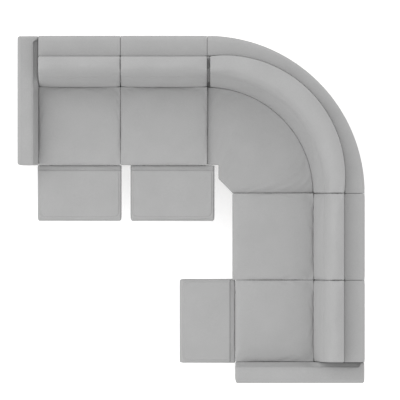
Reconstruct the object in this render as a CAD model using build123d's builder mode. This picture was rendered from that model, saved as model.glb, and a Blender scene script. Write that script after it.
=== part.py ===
import os
from math import cos, radians, sin, sqrt

from build123d import *

os.makedirs("parts", exist_ok=True)

# Plan of the L, in millimetres: two equal legs that meet in a curved corner
leg_length = 2640
arm_width = 160
module_depth = 980
corner_setback = 216
seat_difference = 37
module_gap = 4
fit_gap = 0.5

# Heights above the floor
foot_height = 60
seat_edge_height = 462
seat_cushion_height = 68
seat_crown = 20
arm_height = 625
back_cushion_height = 945
ledge_drop = 145

# Wooden bases
front_setback = 12
base_setback = 132
deck_setback = 190
panel = 18
rail = 22
rail_lift = 20
base_shelf = 268
cross_rail_height = 150
motor_beam_low = 150
motor_beam_height = 90

# Arms: a window frame inside a padded cover
arm_top_width = 122
arm_edge_radius = 24
arm_slope_top = 596
arm_slope_foot = 430
arm_frame_start = 40
arm_frame_width = 68
arm_frame_top = 580
arm_frame_rail = 60
arm_frame_bays = 4
arm_end_cover = 20

# Backs: a hollow shell with a ledge on top and a skirt behind the base
ledge_depth = 155
ledge_thickness = 40
ledge_rear_radius = 40
ledge_front_radius = 12
back_board = 18
back_panel = 25
shell_bottom = 332
skirt_bottom = 90
hinge_setback = 130
hinge_height = 300
hinge_eye = 18
hinge_bracket_width = 55
hinge_bracket_top = 430
corner_diagonal_ledge = 94
corner_seam_turn = 0.35
post_width = 60
post_places = (0.2, 0.8)
post_turns = (8, 27, 63, 82)
post_foot = 180

# Seat cushions
back_thickness = 390
seat_nose = 46
nose_round = 0.3
nose_drop = 0.12
crown_at_ends = 0.3
seat_front = 4
seat_bulge = 4
side_draw = 10
edge_drop = 18
swell_steps = ((0, 0), (0.03, 0.5), (0.12, 0.85), (0.5, 1))
middle_seat_projection = 22
wedge_step = 86
wedge_drop = 105
corner_seat_drop = 40
corner_crown_radius = 8000
corner_edge_radius = 18

# Back cushions: a lower and an upper roll that meet in a sewn crease
cushion_lift = 6
cushion_lean = 0.2415
crease_drop = 180
crease_depth = 12
roll_bulge = 24
bulge_at_ends = 0.35
upper_bulge = 0.6
shoulder_drop = 33
cushion_gap = 8

# Footrests, lying out in front of the seat
footrest_overhang = 16
footrest_length = 420
footrest_gap = 6
footrest_shift = 66
pad_drop = 22
pad_thickness = 74
pad_crown = 8
pad_nose = 30
flap_length = 42
flap_slope = 12
flap_drop = 14
pan_depth = 10
pan_sheet = 3
pan_inset = 34

# Footrest linkage: its pivots behind or out in front of the seat front, and above the floor
drive_back = 74
drive_up = 114
swing_back = 46
swing_rise = 19
carrier_out = 57
carrier_up = 187
flip_back = 8
flip_up = 165
board_out = 113
board_up = 282
lever_out = 118
lever_up = 264
stow_angle = 80
mechanism_inset = 76
link_thickness = 5
layer_pitch = 8
link_width = 22
flip_width = 16
pin_radius = 6
lever_pin_radius = 4
lever_play = 2
running_fit = 0.06
pin_reach = 1.5
ear_width = 46

# Side plates that carry the swing arms and the back hinges
plate_width = 48
plate_head_width = 64
plate_up = 116
plate_knee_setback = 340
plate_knee_up = 120

# Drive: torque tube, crank, push rod and motor
tube_radius = 12.5
tube_wall = 2.5
crank_radius = 55
crank_width = 24
crank_pin_radius = 5
crank_gap = 22
crank_plate = 6
crank_play = 1.4
rod_radius = 9
rod_end_thickness = 10
rod_end_wall = 8
rod_neck = 12
rod_overlap = 25
rod_bore_gap = 0.3
motor_front = 250
motor_length = 175
housing_radius = 20
gearbox_length = 75
gearbox_width = 62
gearbox_height = 112
gearbox_corner = 10
motor_can_radius = 27
motor_can_length = 90
motor_drop = 56

# Rocker switches
switch_length = 64
switch_width = 34
bezel_thickness = 3
cup_depth = 18
cup_wall = 3
rocker_axle_radius = 2
rocker_gap = 1.5
rocker_rise = 4
rocker_sink = 9
rocker_dish = 2
switch_recess = 9
front_switch_inset = 40
front_switch_drop = 66
arm_switch_height = 500
arm_switch_setback = 150

# Feet and the plates that join the modules
foot_top_radius = 26
foot_tip_radius = 18
foot_inset = 40
foot_front = 70
joiner_thickness = 6
joiner_length = 110
joiner_width = 60
joiner_places = (250, 600)

# Places that follow from the sizes above
half = leg_length / 2
front_line = half - module_depth
corner_side = module_depth + corner_setback
corner_line = half - corner_side
end_seat_width = (leg_length - arm_width - corner_side - seat_difference) / 2
middle_seat_width = end_seat_width + seat_difference
footrest_width = end_seat_width + footrest_overhang
mechanism_half = end_seat_width / 2 - mechanism_inset
seat_depth = module_depth - back_thickness
base_rear = module_depth - base_setback
deck_rear = module_depth - deck_setback
back_front = module_depth - ledge_depth
back_skirt = module_depth - back_panel
deck_top = seat_edge_height - seat_cushion_height
deck_bottom = deck_top - panel
front_switch_height = deck_bottom - front_switch_drop
ledge_height = back_cushion_height - ledge_drop
cushion_foot = deck_top + cushion_lift
crease_height = back_cushion_height - crease_drop
cushion_shoulder = back_cushion_height - shoulder_drop
back_hinge = Vector(module_depth - hinge_setback, hinge_height)
drive_pivot = Vector(drive_back, drive_up)
swing_spread = Vector(swing_back, swing_rise)
carrier_pivot = Vector(-carrier_out, carrier_up)
flip_pivot = Vector(flip_back, flip_up)
board_pivot = Vector(-board_out, board_up)
lever_pivot = Vector(-lever_out, lever_up)
swing_pivot = drive_pivot + swing_spread
carrier_tail = carrier_pivot + swing_spread
crank_swing = radians(stow_angle / 2)
crank_tip = drive_pivot + Vector(-sin(crank_swing), cos(crank_swing)) * crank_radius
rod_height = drive_pivot.Y + crank_radius * (1 + cos(crank_swing)) / 2
rod_travel = 2 * crank_radius * sin(crank_swing)
pad_top = seat_edge_height - pad_drop
pad_bottom = pad_top - pad_thickness
middle_x = corner_line - middle_seat_width / 2
end_x = corner_line - middle_seat_width - end_seat_width / 2
arm_x = half - arm_width

# Each leg has its own frame: x along the seats, y to the back, z up, from the seat front
top_run = Plane((0, front_line, 0), x_dir=(1, 0, 0), z_dir=(0, 0, 1))
right_run = Plane((front_line, 0, 0), x_dir=(0, -1, 0), z_dir=(0, 0, 1))

# name, leg, middle of the seat, width, middle of the footrest
recliners = (
    ("seat_1", top_run, end_x, end_seat_width, end_x),
    ("seat_2", top_run, middle_x, middle_seat_width, middle_x + footrest_shift),
    ("seat_4", right_run, -end_x, end_seat_width, -end_x),
)
# name, leg, outer face, direction from there to the seats
arms = (
    ("left_arm", top_run, -half, 1),
    ("right_arm", right_run, half, -1),
)


def side(run, x):
    # Sketch x runs to the back and sketch y up, and extrusions run along the seats
    return Plane(run.from_local_coords((x, 0, 0)), x_dir=run.y_dir, z_dir=run.x_dir)


def front(run, y):
    # Sketch x runs along the seats and sketch y up, and extrusions run to the front
    return Plane(run.from_local_coords((0, y, 0)), x_dir=run.x_dir, z_dir=-run.y_dir)


def radial(turn):
    # Sketch x runs out from the corner's centre and sketch y up
    out = Vector(cos(radians(turn)), sin(radians(turn)), 0)
    return Plane((corner_line, corner_line, 0), x_dir=out, z_dir=out.cross(Vector(0, 0, 1)))


def save(piece, name):
    piece.part.label = name
    export_step(piece.part, f"parts/{name}.step")


def slot_between(start, end, width):
    # A round-ended bar from one pivot to another
    span = end - start
    with Locations((start + end) * 0.5):
        SlotCenterToCenter(span.length, width, rotation=Vector(1, 0).get_signed_angle(span, Vector(0, 0, 1)))


def disc(centre, radius, mode=Mode.ADD):
    with Locations(centre):
        Circle(radius, mode=mode)


def layer(x, number):
    # Inner face of a link layer, counted inwards from the rail on the high side
    return x + mechanism_half - number * layer_pitch - link_thickness


def swell(start, end):
    # Places along a cushion with its fullness there, from one sewn end to the other
    rising = [(start + (end - start) * part, fullness) for part, fullness in swell_steps]
    falling = [(end - (end - start) * part, fullness) for part, fullness in swell_steps[:-1]]
    return rising + falling[::-1]


def seat_base(name, run, x, width, mechanism_x=None, switch=False):
    left = x - (width - module_gap) / 2
    right = x + (width - module_gap) / 2
    outline = (
        (front_setback, foot_height), (base_rear, foot_height), (base_rear, base_shelf),
        (deck_rear, deck_bottom), (front_setback, deck_bottom),
    )
    with BuildPart() as base:
        for start in (left, right - panel):
            with BuildSketch(side(run, start)):
                with BuildLine():
                    Polyline(*outline, close=True)
                make_face()
            extrude(amount=panel)
        with BuildSketch(run.offset(deck_bottom)):
            with Locations((x, (front_setback + deck_rear) / 2)):
                Rectangle(right - left, deck_rear - front_setback)
        extrude(amount=panel)
        with BuildSketch(run.offset(foot_height)):
            with Locations((x, base_rear - rail / 2)):
                Rectangle(right - left, rail)
        extrude(amount=cross_rail_height)
        if mechanism_x is None:
            spans = ((left, right),)
            board = back_front + back_board
            with BuildSketch(run.offset(post_foot)):
                for part in post_places:
                    with Locations((left + (right - left) * part, board + panel / 2)):
                        Rectangle(post_width, panel)
            extrude(amount=hinge_bracket_top - post_foot)
        else:
            inner_left = mechanism_x - mechanism_half
            inner_right = mechanism_x + mechanism_half
            spans = ((left, inner_left), (inner_right, right))
            for start in (inner_left - rail, inner_right):
                with BuildSketch(side(run, start)):
                    with BuildLine():
                        Polyline(*outline, close=True)
                    make_face()
                    with Locations((front_setback, foot_height)):
                        Rectangle(base_rear, rail_lift, align=Align.MIN, mode=Mode.SUBTRACT)
                extrude(amount=rail)
            with BuildSketch(front(run, motor_front + motor_length)):
                with Locations((mechanism_x, motor_beam_low + motor_beam_height / 2)):
                    Rectangle(2 * mechanism_half, motor_beam_height)
            extrude(amount=-rail)
        for start, end in spans:
            with BuildSketch(front(run, front_setback)):
                with Locations((start, foot_height)):
                    Rectangle(end - start, deck_bottom - foot_height, align=Align.MIN)
            extrude(amount=-panel)
        if switch:
            with BuildSketch(front(run, front_setback)):
                with Locations((left + front_switch_inset, front_switch_height)):
                    Rectangle(*switch_hole())
            extrude(amount=-panel, mode=Mode.SUBTRACT)
    save(base, name)


def switch_hole():
    # The cup of a switch sits inside its bezel's outline with a little room
    return (switch_width - 2 * cup_wall, switch_length - 2 * cup_wall)


def crowned_seat(name, run, x, width, front_edge):
    left = x - (width - module_gap) / 2
    right = x + (width - module_gap) / 2
    with BuildPart() as cushion:
        for place, fullness in swell(left, right):
            draw = side_draw * (1 - fullness)
            edge = seat_edge_height - edge_drop * (1 - fullness)
            face = front_edge + draw
            with BuildSketch(side(run, place)):
                with BuildLine():
                    Line((seat_depth, deck_top), (face, deck_top))
                    ThreePointArc(
                        (face, deck_top),
                        (face - seat_bulge, (deck_top + edge - seat_nose / 2) / 2),
                        (face, edge - seat_nose / 2),
                    )
                    ThreePointArc(
                        (face, edge - seat_nose / 2),
                        (face + seat_nose * nose_round, edge - seat_nose * nose_drop),
                        (face + seat_nose, edge),
                    )
                    crown = seat_crown * (crown_at_ends + (1 - crown_at_ends) * fullness)
                    ThreePointArc(
                        (face + seat_nose, edge),
                        ((face + seat_nose + seat_depth) / 2, edge + crown),
                        (seat_depth, edge - seat_crown / 2),
                    )
                    Line((seat_depth, edge - seat_crown / 2), (seat_depth, deck_top))
                make_face()
        loft()
    save(cushion, name)


def back_roll(name, stations):
    # A back cushion through side views, each fuller in the middle than at its sewn ends
    with BuildPart() as cushion:
        for plane, fullness, origin, rear in stations:
            draw = side_draw * (1 - fullness)
            drop = edge_drop * (1 - fullness)
            foot = origin + seat_depth + cushion_gap + draw
            bulge = roll_bulge * (bulge_at_ends + (1 - bulge_at_ends) * fullness)
            shoulder = cushion_shoulder - drop
            low_middle = (cushion_foot + crease_height) / 2
            high_middle = (crease_height + shoulder) / 2
            crease = foot + (crease_height - cushion_foot) * cushion_lean + crease_depth * fullness
            low_face = foot + (low_middle - cushion_foot) * cushion_lean - bulge
            high_face = foot + (high_middle - cushion_foot) * cushion_lean - bulge * upper_bulge
            lip = foot + (shoulder - cushion_foot) * cushion_lean
            with BuildSketch(plane):
                with BuildLine():
                    ThreePointArc((foot, cushion_foot), (low_face, low_middle), (crease, crease_height))
                    ThreePointArc((crease, crease_height), (high_face, high_middle), (lip, shoulder))
                    ThreePointArc(
                        (lip, shoulder), ((lip + rear) / 2, back_cushion_height - drop), (rear, shoulder)
                    )
                    Line((rear, shoulder), (rear, cushion_foot))
                    Line((rear, cushion_foot), (foot, cushion_foot))
                make_face()
        loft()
    save(cushion, name)


def back_cushion(name, run, x, width):
    left = x - (width - module_gap) / 2
    right = x + (width - module_gap) / 2
    rear = back_front - fit_gap
    back_roll(name, [(side(run, place), fullness, 0, rear) for place, fullness in swell(left, right)])


def back_shell(name, run, x, width, mechanism_x=None):
    left = x - (width - module_gap) / 2
    wide = width - module_gap
    with BuildPart() as shell:
        with BuildSketch(side(run, left)) as outline:
            with BuildLine():
                Polyline(
                    (back_front, shell_bottom), (back_skirt, shell_bottom), (back_skirt, skirt_bottom),
                    (module_depth, skirt_bottom), (module_depth, ledge_height), (back_front, ledge_height),
                    close=True,
                )
            make_face()
            top = outline.vertices().group_by(Axis.Y)[-1].sort_by(Axis.X)
            fillet(top[0], ledge_front_radius)
            top = outline.vertices().filter_by(lambda v: v.X > back_skirt and v.Y > ledge_height - 1)
            fillet(top, ledge_rear_radius)
        extrude(amount=wide)
        with BuildSketch(side(run, left + panel)):
            with Locations((back_front + back_board, shell_bottom)):
                Rectangle(
                    back_skirt - back_front - back_board,
                    ledge_height - ledge_thickness - shell_bottom,
                    align=Align.MIN,
                )
        extrude(amount=wide - 2 * panel, mode=Mode.SUBTRACT)
        if mechanism_x is not None:
            board = back_front + back_board
            inner = layer(mechanism_x, 1)
            for start in (inner, 2 * mechanism_x - inner - link_thickness):
                with BuildSketch(side(run, start)):
                    disc(back_hinge, hinge_eye)
                    with BuildLine():
                        Polyline(
                            (board, back_hinge.Y), (back_hinge.X + hinge_eye, back_hinge.Y),
                            (board + hinge_bracket_width, shell_bottom + hinge_eye),
                            (board + hinge_bracket_width, hinge_bracket_top), (board, hinge_bracket_top),
                            close=True,
                        )
                    make_face()
                    disc(back_hinge, pin_radius + running_fit, Mode.SUBTRACT)
                extrude(amount=link_thickness)
    save(shell, name)


def side_plates(name, run, x):
    # A bar along the floor from the swing pivots that turns up to the back hinge
    knee = Vector(module_depth - plate_knee_setback, plate_knee_up)
    with BuildPart() as plates:
        with BuildSketch(side(run, layer(x, 0))):
            slot_between(Vector(drive_back, plate_up), knee, plate_width)
            slot_between(knee, back_hinge, plate_width)
            slot_between(drive_pivot, swing_pivot, plate_head_width)
        extrude(amount=link_thickness)
        with BuildSketch(side(run, layer(x, 0))):
            for place in (drive_pivot, swing_pivot, back_hinge):
                disc(place, pin_radius)
        extrude(amount=-layer_pitch - pin_reach)
        mirror(about=side(run, x))
    save(plates, name)


def drive_shaft(name, run, x):
    mirror_plane = side(run, x)
    arm_face = layer(x, 1)
    with BuildPart() as drive:
        with BuildSketch(side(run, arm_face)):
            slot_between(drive_pivot, flip_pivot, link_width)
            slot_between(flip_pivot, carrier_pivot, link_width)
            disc(drive_pivot, pin_radius + running_fit, Mode.SUBTRACT)
        extrude(amount=link_thickness)
        with BuildSketch(side(run, arm_face)):
            disc(carrier_pivot, pin_radius)
        extrude(amount=-layer_pitch - pin_reach)
        with BuildSketch(side(run, arm_face)):
            disc(flip_pivot, pin_radius)
        extrude(amount=-2 * layer_pitch - pin_reach)
        with BuildSketch(side(run, x)):
            disc(drive_pivot, tube_radius)
            disc(drive_pivot, tube_radius - tube_wall, Mode.SUBTRACT)
        extrude(amount=arm_face - x)
        with BuildSketch(side(run, x + crank_gap / 2)):
            slot_between(drive_pivot, crank_tip, crank_width)
            disc(drive_pivot, tube_radius - tube_wall, Mode.SUBTRACT)
        extrude(amount=crank_plate)
        with BuildSketch(side(run, x)):
            disc(crank_tip, crank_pin_radius)
        extrude(amount=crank_gap / 2 + crank_plate)
        mirror(about=mirror_plane)
    save(drive, name)


def swing_arms(name, run, x):
    with BuildPart() as swing:
        with BuildSketch(side(run, layer(x, 1))):
            slot_between(swing_pivot, carrier_tail, link_width)
            disc(swing_pivot, pin_radius + running_fit, Mode.SUBTRACT)
            disc(carrier_tail, pin_radius + fit_gap, Mode.SUBTRACT)
        extrude(amount=link_thickness)
        mirror(about=side(run, x))
    save(swing, name)


def carrier_links(name, run, x):
    face = layer(x, 2)
    with BuildPart() as carrier:
        with BuildSketch(side(run, face)):
            slot_between(carrier_tail, carrier_pivot, link_width)
            slot_between(carrier_pivot, board_pivot, link_width)
            disc(carrier_pivot, pin_radius + running_fit, Mode.SUBTRACT)
            disc(board_pivot, pin_radius + running_fit, Mode.SUBTRACT)
        extrude(amount=link_thickness)
        with BuildSketch(side(run, face + link_thickness)):
            disc(carrier_tail, pin_radius)
        extrude(amount=layer_pitch + pin_reach)
        mirror(about=side(run, x))
    save(carrier, name)


def flip_links(name, run, x):
    with BuildPart() as flip:
        with BuildSketch(side(run, layer(x, 3))):
            slot_between(flip_pivot, lever_pivot, flip_width)
            disc(flip_pivot, pin_radius + fit_gap * 2)
            disc(flip_pivot, pin_radius + running_fit, Mode.SUBTRACT)
            disc(lever_pivot, lever_pin_radius + lever_play, Mode.SUBTRACT)
        extrude(amount=link_thickness)
        mirror(about=side(run, x))
    save(flip, name)


def footrest_pan(name, run, x):
    far = -footrest_gap - footrest_length + pan_inset
    near = -footrest_gap - pan_inset
    wide = footrest_width - 2 * pan_inset
    ear = layer(x, 4)
    with BuildPart() as pan:
        with BuildSketch(run.offset(pad_bottom - pan_depth)):
            with Locations((x, (far + near) / 2)):
                RectangleRounded(wide, near - far, pan_inset)
        extrude(amount=pan_depth)
        with BuildSketch(run.offset(pad_bottom - pan_depth)):
            with Locations((x, (far + near) / 2)):
                RectangleRounded(wide - 2 * pan_sheet, near - far - 2 * pan_sheet, pan_inset - pan_sheet)
        extrude(amount=pan_depth - pan_sheet, mode=Mode.SUBTRACT)
        with BuildSketch(side(run, ear)):
            slot_between(board_pivot, lever_pivot, link_width)
            with BuildLine():
                Polyline(
                    board_pivot + Vector(-link_width / 2, 0), board_pivot + Vector(link_width / 2, 0),
                    (board_pivot.X + ear_width / 4, pad_bottom - pan_sheet / 2),
                    (board_pivot.X - ear_width, pad_bottom - pan_sheet / 2),
                    close=True,
                )
            make_face()
        extrude(amount=link_thickness)
        with BuildSketch(side(run, ear + link_thickness)):
            disc(board_pivot, pin_radius)
        extrude(amount=2 * layer_pitch + pin_reach)
        with BuildSketch(side(run, ear + link_thickness)):
            disc(lever_pivot, lever_pin_radius)
        extrude(amount=layer_pitch + pin_reach)
        mirror(about=side(run, x))
    save(pan, name)


def footrest_pad(name, run, x):
    left = x - footrest_width / 2
    right = x + footrest_width / 2
    near = -footrest_gap
    with BuildPart() as pad:
        for place, fullness in swell(left, right):
            draw = side_draw * (1 - fullness)
            edge = pad_top - pad_crown - edge_drop * (1 - fullness)
            far = -footrest_gap - footrest_length + draw
            step = near - draw - flap_length
            with BuildSketch(side(run, place)):
                with BuildLine():
                    Line((near - draw, pad_bottom), (far + pad_nose / 2, pad_bottom))
                    ThreePointArc(
                        (far + pad_nose / 2, pad_bottom), (far, (pad_bottom + edge) / 2), (far + pad_nose, edge)
                    )
                    ThreePointArc(
                        (far + pad_nose, edge),
                        ((far + near) / 2, edge + pad_crown * (crown_at_ends + (1 - crown_at_ends) * fullness)),
                        (step, edge),
                    )
                    # The end next to the seat is a thinner flap
                    ThreePointArc(
                        (step, edge),
                        (step + flap_slope * sqrt(0.5), edge - flap_drop * (1 - sqrt(0.5))),
                        (step + flap_slope, edge - flap_drop),
                    )
                    Line((step + flap_slope, edge - flap_drop), (near - draw, edge - flap_drop))
                    Line((near - draw, edge - flap_drop), (near - draw, pad_bottom))
                make_face()
        loft()
    save(pad, name)


def footrest_motor(name, run, x):
    rear = motor_front + motor_length
    with BuildPart() as motor:
        with BuildSketch(front(run, rear)):
            with Locations((x, rod_height)):
                Circle(housing_radius)
        extrude(amount=motor_length)
        with BuildSketch(front(run, rear)):
            with Locations((x, rod_height - motor_drop / 2)):
                RectangleRounded(gearbox_width, gearbox_height, gearbox_corner)
        extrude(amount=gearbox_length)
        with BuildSketch(front(run, rear - gearbox_length)):
            with Locations((x, rod_height - motor_drop)):
                Circle(motor_can_radius)
        extrude(amount=motor_can_length)
        with BuildSketch(front(run, motor_front)):
            with Locations((x, rod_height)):
                Circle(rod_radius + rod_bore_gap)
        extrude(amount=-rod_overlap - rod_travel - rod_neck, mode=Mode.SUBTRACT)
    save(motor, name)


def push_rod(name, run, x):
    slot_half = crank_pin_radius + crank_play
    slot_low = crank_tip.Y - slot_half
    slot_high = drive_pivot.Y + crank_radius + slot_half
    end = crank_tip.X + slot_half + rod_end_wall
    with BuildPart() as rod:
        with BuildSketch(side(run, x - rod_end_thickness / 2)):
            with Locations((crank_tip.X, (slot_low + slot_high) / 2)):
                RectangleRounded(
                    2 * (slot_half + rod_end_wall), slot_high - slot_low + 2 * rod_end_wall, rod_end_wall / 2
                )
                SlotOverall(slot_high - slot_low, 2 * slot_half, rotation=90, mode=Mode.SUBTRACT)
        extrude(amount=rod_end_thickness)
        with BuildSketch(front(run, end - fit_gap)):
            with Locations((x, rod_height)):
                Circle(rod_radius)
        extrude(amount=-(motor_front + rod_overlap - end))
    save(rod, name)


def switch_plane(place, facing):
    # Sketch y runs up the switch, extrusions run out of the face that it sits in
    across = Vector(0, 0, 1).cross(facing)
    return Plane(place, x_dir=across, z_dir=facing)


def switch_bezel(name, face):
    hole = switch_hole()
    with BuildPart() as bezel:
        with BuildSketch(face):
            RectangleRounded(switch_width, switch_length, cup_wall)
        extrude(amount=bezel_thickness)
        with BuildSketch(face):
            Rectangle(hole[0] - 2 * fit_gap, hole[1] - 2 * fit_gap)
        extrude(amount=-cup_depth)
        with BuildSketch(face.offset(-cup_depth + cup_wall)):
            Rectangle(hole[0] - 2 * cup_wall, hole[1] - 2 * cup_wall)
        extrude(amount=cup_depth + bezel_thickness, mode=Mode.SUBTRACT)
        axle = Plane(face.origin, x_dir=face.y_dir, z_dir=face.x_dir).offset(-hole[0] / 2 + cup_wall / 2)
        with BuildSketch(axle):
            Circle(rocker_axle_radius)
        extrude(amount=hole[0] - cup_wall)
    save(bezel, name)


def switch_rocker(name, face):
    hole = switch_hole()
    wide = hole[0] - 2 * cup_wall - 2 * rocker_gap
    half_long = hole[1] / 2 - cup_wall - rocker_gap
    side_face = Plane(face.origin, x_dir=face.y_dir, z_dir=face.x_dir).offset(-wide / 2)
    crest = bezel_thickness + rocker_rise
    with BuildPart() as rocker:
        with BuildSketch(side_face):
            with BuildLine():
                ThreePointArc((-half_long, crest), (0, crest - rocker_dish), (half_long, crest))
                Line((half_long, crest), (half_long, 0))
                ThreePointArc((half_long, 0), (0, -rocker_sink), (-half_long, 0))
                Line((-half_long, 0), (-half_long, crest))
            make_face()
            Circle(rocker_axle_radius + running_fit, mode=Mode.SUBTRACT)
        extrude(amount=wide)
    save(rocker, name)


def arm_switch_face(run, outer, inward):
    # The outer face of an arm, near its front
    place = run.from_local_coords(Vector(outer + inward * switch_recess, arm_switch_setback, arm_switch_height))
    return switch_plane(place, run.x_dir * -inward)


def arm_cover(name, run, outer, inward):
    def across(distance):
        return outer + inward * distance

    inner = arm_width - module_gap / 2
    with BuildPart() as cover:
        with BuildSketch(front(run, 0)):
            with BuildLine():
                Line((across(0), foot_height), (across(0), arm_height - arm_edge_radius))
                ThreePointArc(
                    (across(0), arm_height - arm_edge_radius),
                    (across(arm_edge_radius * 0.3), arm_height - arm_edge_radius * 0.3),
                    (across(arm_edge_radius), arm_height),
                )
                Line((across(arm_edge_radius), arm_height), (across(arm_top_width - arm_edge_radius), arm_height))
                ThreePointArc(
                    (across(arm_top_width - arm_edge_radius), arm_height),
                    (across(arm_top_width - arm_edge_radius * 0.3), arm_height - arm_edge_radius * 0.35),
                    (across(arm_top_width), arm_slope_top),
                )
                Line((across(arm_top_width), arm_slope_top), (across(inner), arm_slope_foot))
                Line((across(inner), arm_slope_foot), (across(inner), foot_height))
                Line((across(inner), foot_height), (across(0), foot_height))
            make_face()
        extrude(amount=-module_depth)
        ends = cover.faces().filter_by(Plane(run.origin, z_dir=run.y_dir))
        fillet(ends.edges().filter_by(lambda e: e.center().Z > foot_height + 1), arm_end_cover / 2)
        with BuildSketch(run.offset(foot_height)):
            with Locations((across(arm_frame_start + arm_frame_width / 2), module_depth / 2)):
                Rectangle(arm_frame_width + 2 * fit_gap, module_depth - 2 * arm_end_cover + 2 * fit_gap)
        extrude(amount=arm_frame_top - foot_height, mode=Mode.SUBTRACT)
        face = arm_switch_face(run, outer, inward)
        with BuildSketch(face):
            RectangleRounded(switch_width + 2 * fit_gap, switch_length + 2 * fit_gap, cup_wall)
        extrude(amount=switch_recess, mode=Mode.SUBTRACT)
        with BuildSketch(face):
            Rectangle(*switch_hole())
        extrude(amount=-cup_depth - fit_gap, mode=Mode.SUBTRACT)
    save(cover, name + "_cover")


def arm_frame(name, run, outer, inward):
    start = outer + inward * (arm_frame_start + arm_frame_width / 2) - arm_frame_width / 2
    long = module_depth - 2 * arm_end_cover
    window = (long - (arm_frame_bays + 1) * arm_frame_rail) / arm_frame_bays
    with BuildPart() as frame:
        with BuildSketch(side(run, start)):
            with Locations((arm_end_cover, foot_height)):
                Rectangle(long, arm_frame_top - foot_height, align=Align.MIN)
            for bay in range(arm_frame_bays):
                with Locations((
                    arm_end_cover + arm_frame_rail + bay * (window + arm_frame_rail),
                    foot_height + arm_frame_rail,
                )):
                    Rectangle(
                        window, arm_frame_top - foot_height - 2 * arm_frame_rail,
                        align=Align.MIN, mode=Mode.SUBTRACT,
                    )
        extrude(amount=arm_frame_width)
    save(frame, name + "_frame")


def corner_outline(inset, rear):
    # Plan of the corner seat, about the corner's centre: stepped front and round back
    low = module_gap / 2 + inset
    edge = corner_setback + inset
    with BuildSketch() as outline:
        with BuildLine():
            Line((low, edge), (wedge_step + inset, edge))
            Line((wedge_step + inset, edge), (wedge_step + inset, edge - wedge_drop))
            Line((wedge_step + inset, edge - wedge_drop), (edge - middle_seat_projection, low))
            Line((edge - middle_seat_projection, low), (rear, low))
            ThreePointArc((rear, low), (rear / sqrt(2), rear / sqrt(2)), (low, rear))
            Line((low, rear), (low, edge))
        make_face()
    return outline.sketch


def corner_plane(height):
    return Plane((corner_line, corner_line, height))


def corner_base():
    rear = corner_setback + base_rear
    with BuildPart() as base:
        with BuildSketch(corner_plane(foot_height)):
            add(corner_outline(front_setback, rear))
        extrude(amount=base_shelf - foot_height)
        with BuildSketch(corner_plane(base_shelf)):
            add(corner_outline(front_setback, corner_setback + deck_rear))
        extrude(amount=deck_top - base_shelf)
        with BuildSketch(corner_plane(foot_height)):
            add(corner_outline(front_setback + panel, corner_setback + deck_rear - panel))
        extrude(amount=deck_bottom - foot_height, mode=Mode.SUBTRACT)
        shift, radius = ledge_arc()
        board = radius + back_board
        for turn in post_turns:
            # Square to the back board, from the rear wall of the base
            middle = Vector(corner_line + shift, corner_line + shift, 0)
            out = Vector(cos(radians(turn)), sin(radians(turn)), 0)
            wall = rear - panel - shift * (out.X + out.Y)
            with BuildSketch(Plane(middle, x_dir=out, z_dir=out.cross(Vector(0, 0, 1)))):
                with BuildLine():
                    Polyline(
                        (wall, post_foot), (board + panel, post_foot), (board + panel, hinge_bracket_top),
                        (board, hinge_bracket_top), (board, base_shelf - panel), (wall, base_shelf - panel),
                        close=True,
                    )
                make_face()
            extrude(amount=post_width / 2, both=True)
    save(base, "corner_base")


def corner_seat():
    middle = (corner_setback + seat_depth) / 2
    crest = seat_edge_height + seat_crown - corner_seat_drop
    with BuildPart() as cushion:
        with BuildSketch(corner_plane(deck_top)):
            add(corner_outline(seat_front, corner_setback + seat_depth))
        extrude(amount=crest - deck_top)
        top = Vector(corner_line + middle, corner_line + middle, crest)
        with Locations(top - Vector(0, 0, corner_crown_radius)):
            Sphere(corner_crown_radius, mode=Mode.INTERSECT)
        fillet(cushion.faces().sort_by(Axis.Z)[-1].edges(), corner_edge_radius)
    save(cushion, "corner_seat_cushion")


def ledge_arc():
    # The front of the ledge is an arc set off along the diagonal, where the ledge is narrower
    end = corner_setback + back_front
    diagonal = corner_side - corner_diagonal_ledge
    shift = (diagonal**2 - end**2) / (2 * (sqrt(2) * diagonal - end))
    return shift, diagonal - sqrt(2) * shift


def ledge_front(turn):
    # Distance from the corner's centre to the front of the ledge
    shift, radius = ledge_arc()
    out = shift * (cos(radians(turn)) + sin(radians(turn)))
    return out + sqrt(out**2 - 2 * shift**2 + radius**2)


def corner_back():
    low = module_gap / 2
    inner = ledge_front(0)
    diagonal = ledge_front(45) / sqrt(2)
    outer = sqrt(corner_side**2 - low**2)
    skirt = corner_side - back_panel
    with BuildPart() as shell:
        with BuildSketch(corner_plane(skirt_bottom)):
            with BuildLine():
                Line((inner, low), (outer, low))
                ThreePointArc((outer, low), (corner_side / sqrt(2), corner_side / sqrt(2)), (low, outer))
                Line((low, outer), (low, inner))
                ThreePointArc((low, inner), (diagonal, diagonal), (inner, low))
            make_face()
        extrude(amount=ledge_height - skirt_bottom)
        with BuildSketch(corner_plane(skirt_bottom)):
            Circle(skirt)
        extrude(amount=shell_bottom - skirt_bottom, mode=Mode.SUBTRACT)
        with BuildSketch(corner_plane(shell_bottom)):
            wall = low + panel
            shift, radius = ledge_arc()
            board = radius + back_board
            near = shift + sqrt(board**2 - (wall - shift)**2)
            reach = shift + board / sqrt(2)
            hollow = skirt - back_board / 2
            far = sqrt(hollow**2 - wall**2)
            with BuildLine():
                Line((near, wall), (far, wall))
                ThreePointArc((far, wall), (hollow / sqrt(2), hollow / sqrt(2)), (wall, far))
                Line((wall, far), (wall, near))
                ThreePointArc((wall, near), (reach, reach), (near, wall))
            make_face()
        extrude(amount=ledge_height - ledge_thickness - shell_bottom, mode=Mode.SUBTRACT)
        rim = shell.faces().sort_by(Axis.Z)[-1].edges().filter_by(GeomType.CIRCLE).sort_by(SortBy.LENGTH)
        fillet(rim[-1], ledge_rear_radius)
        fillet(rim[0], ledge_front_radius)
    save(shell, "corner_back_shell")


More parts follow.
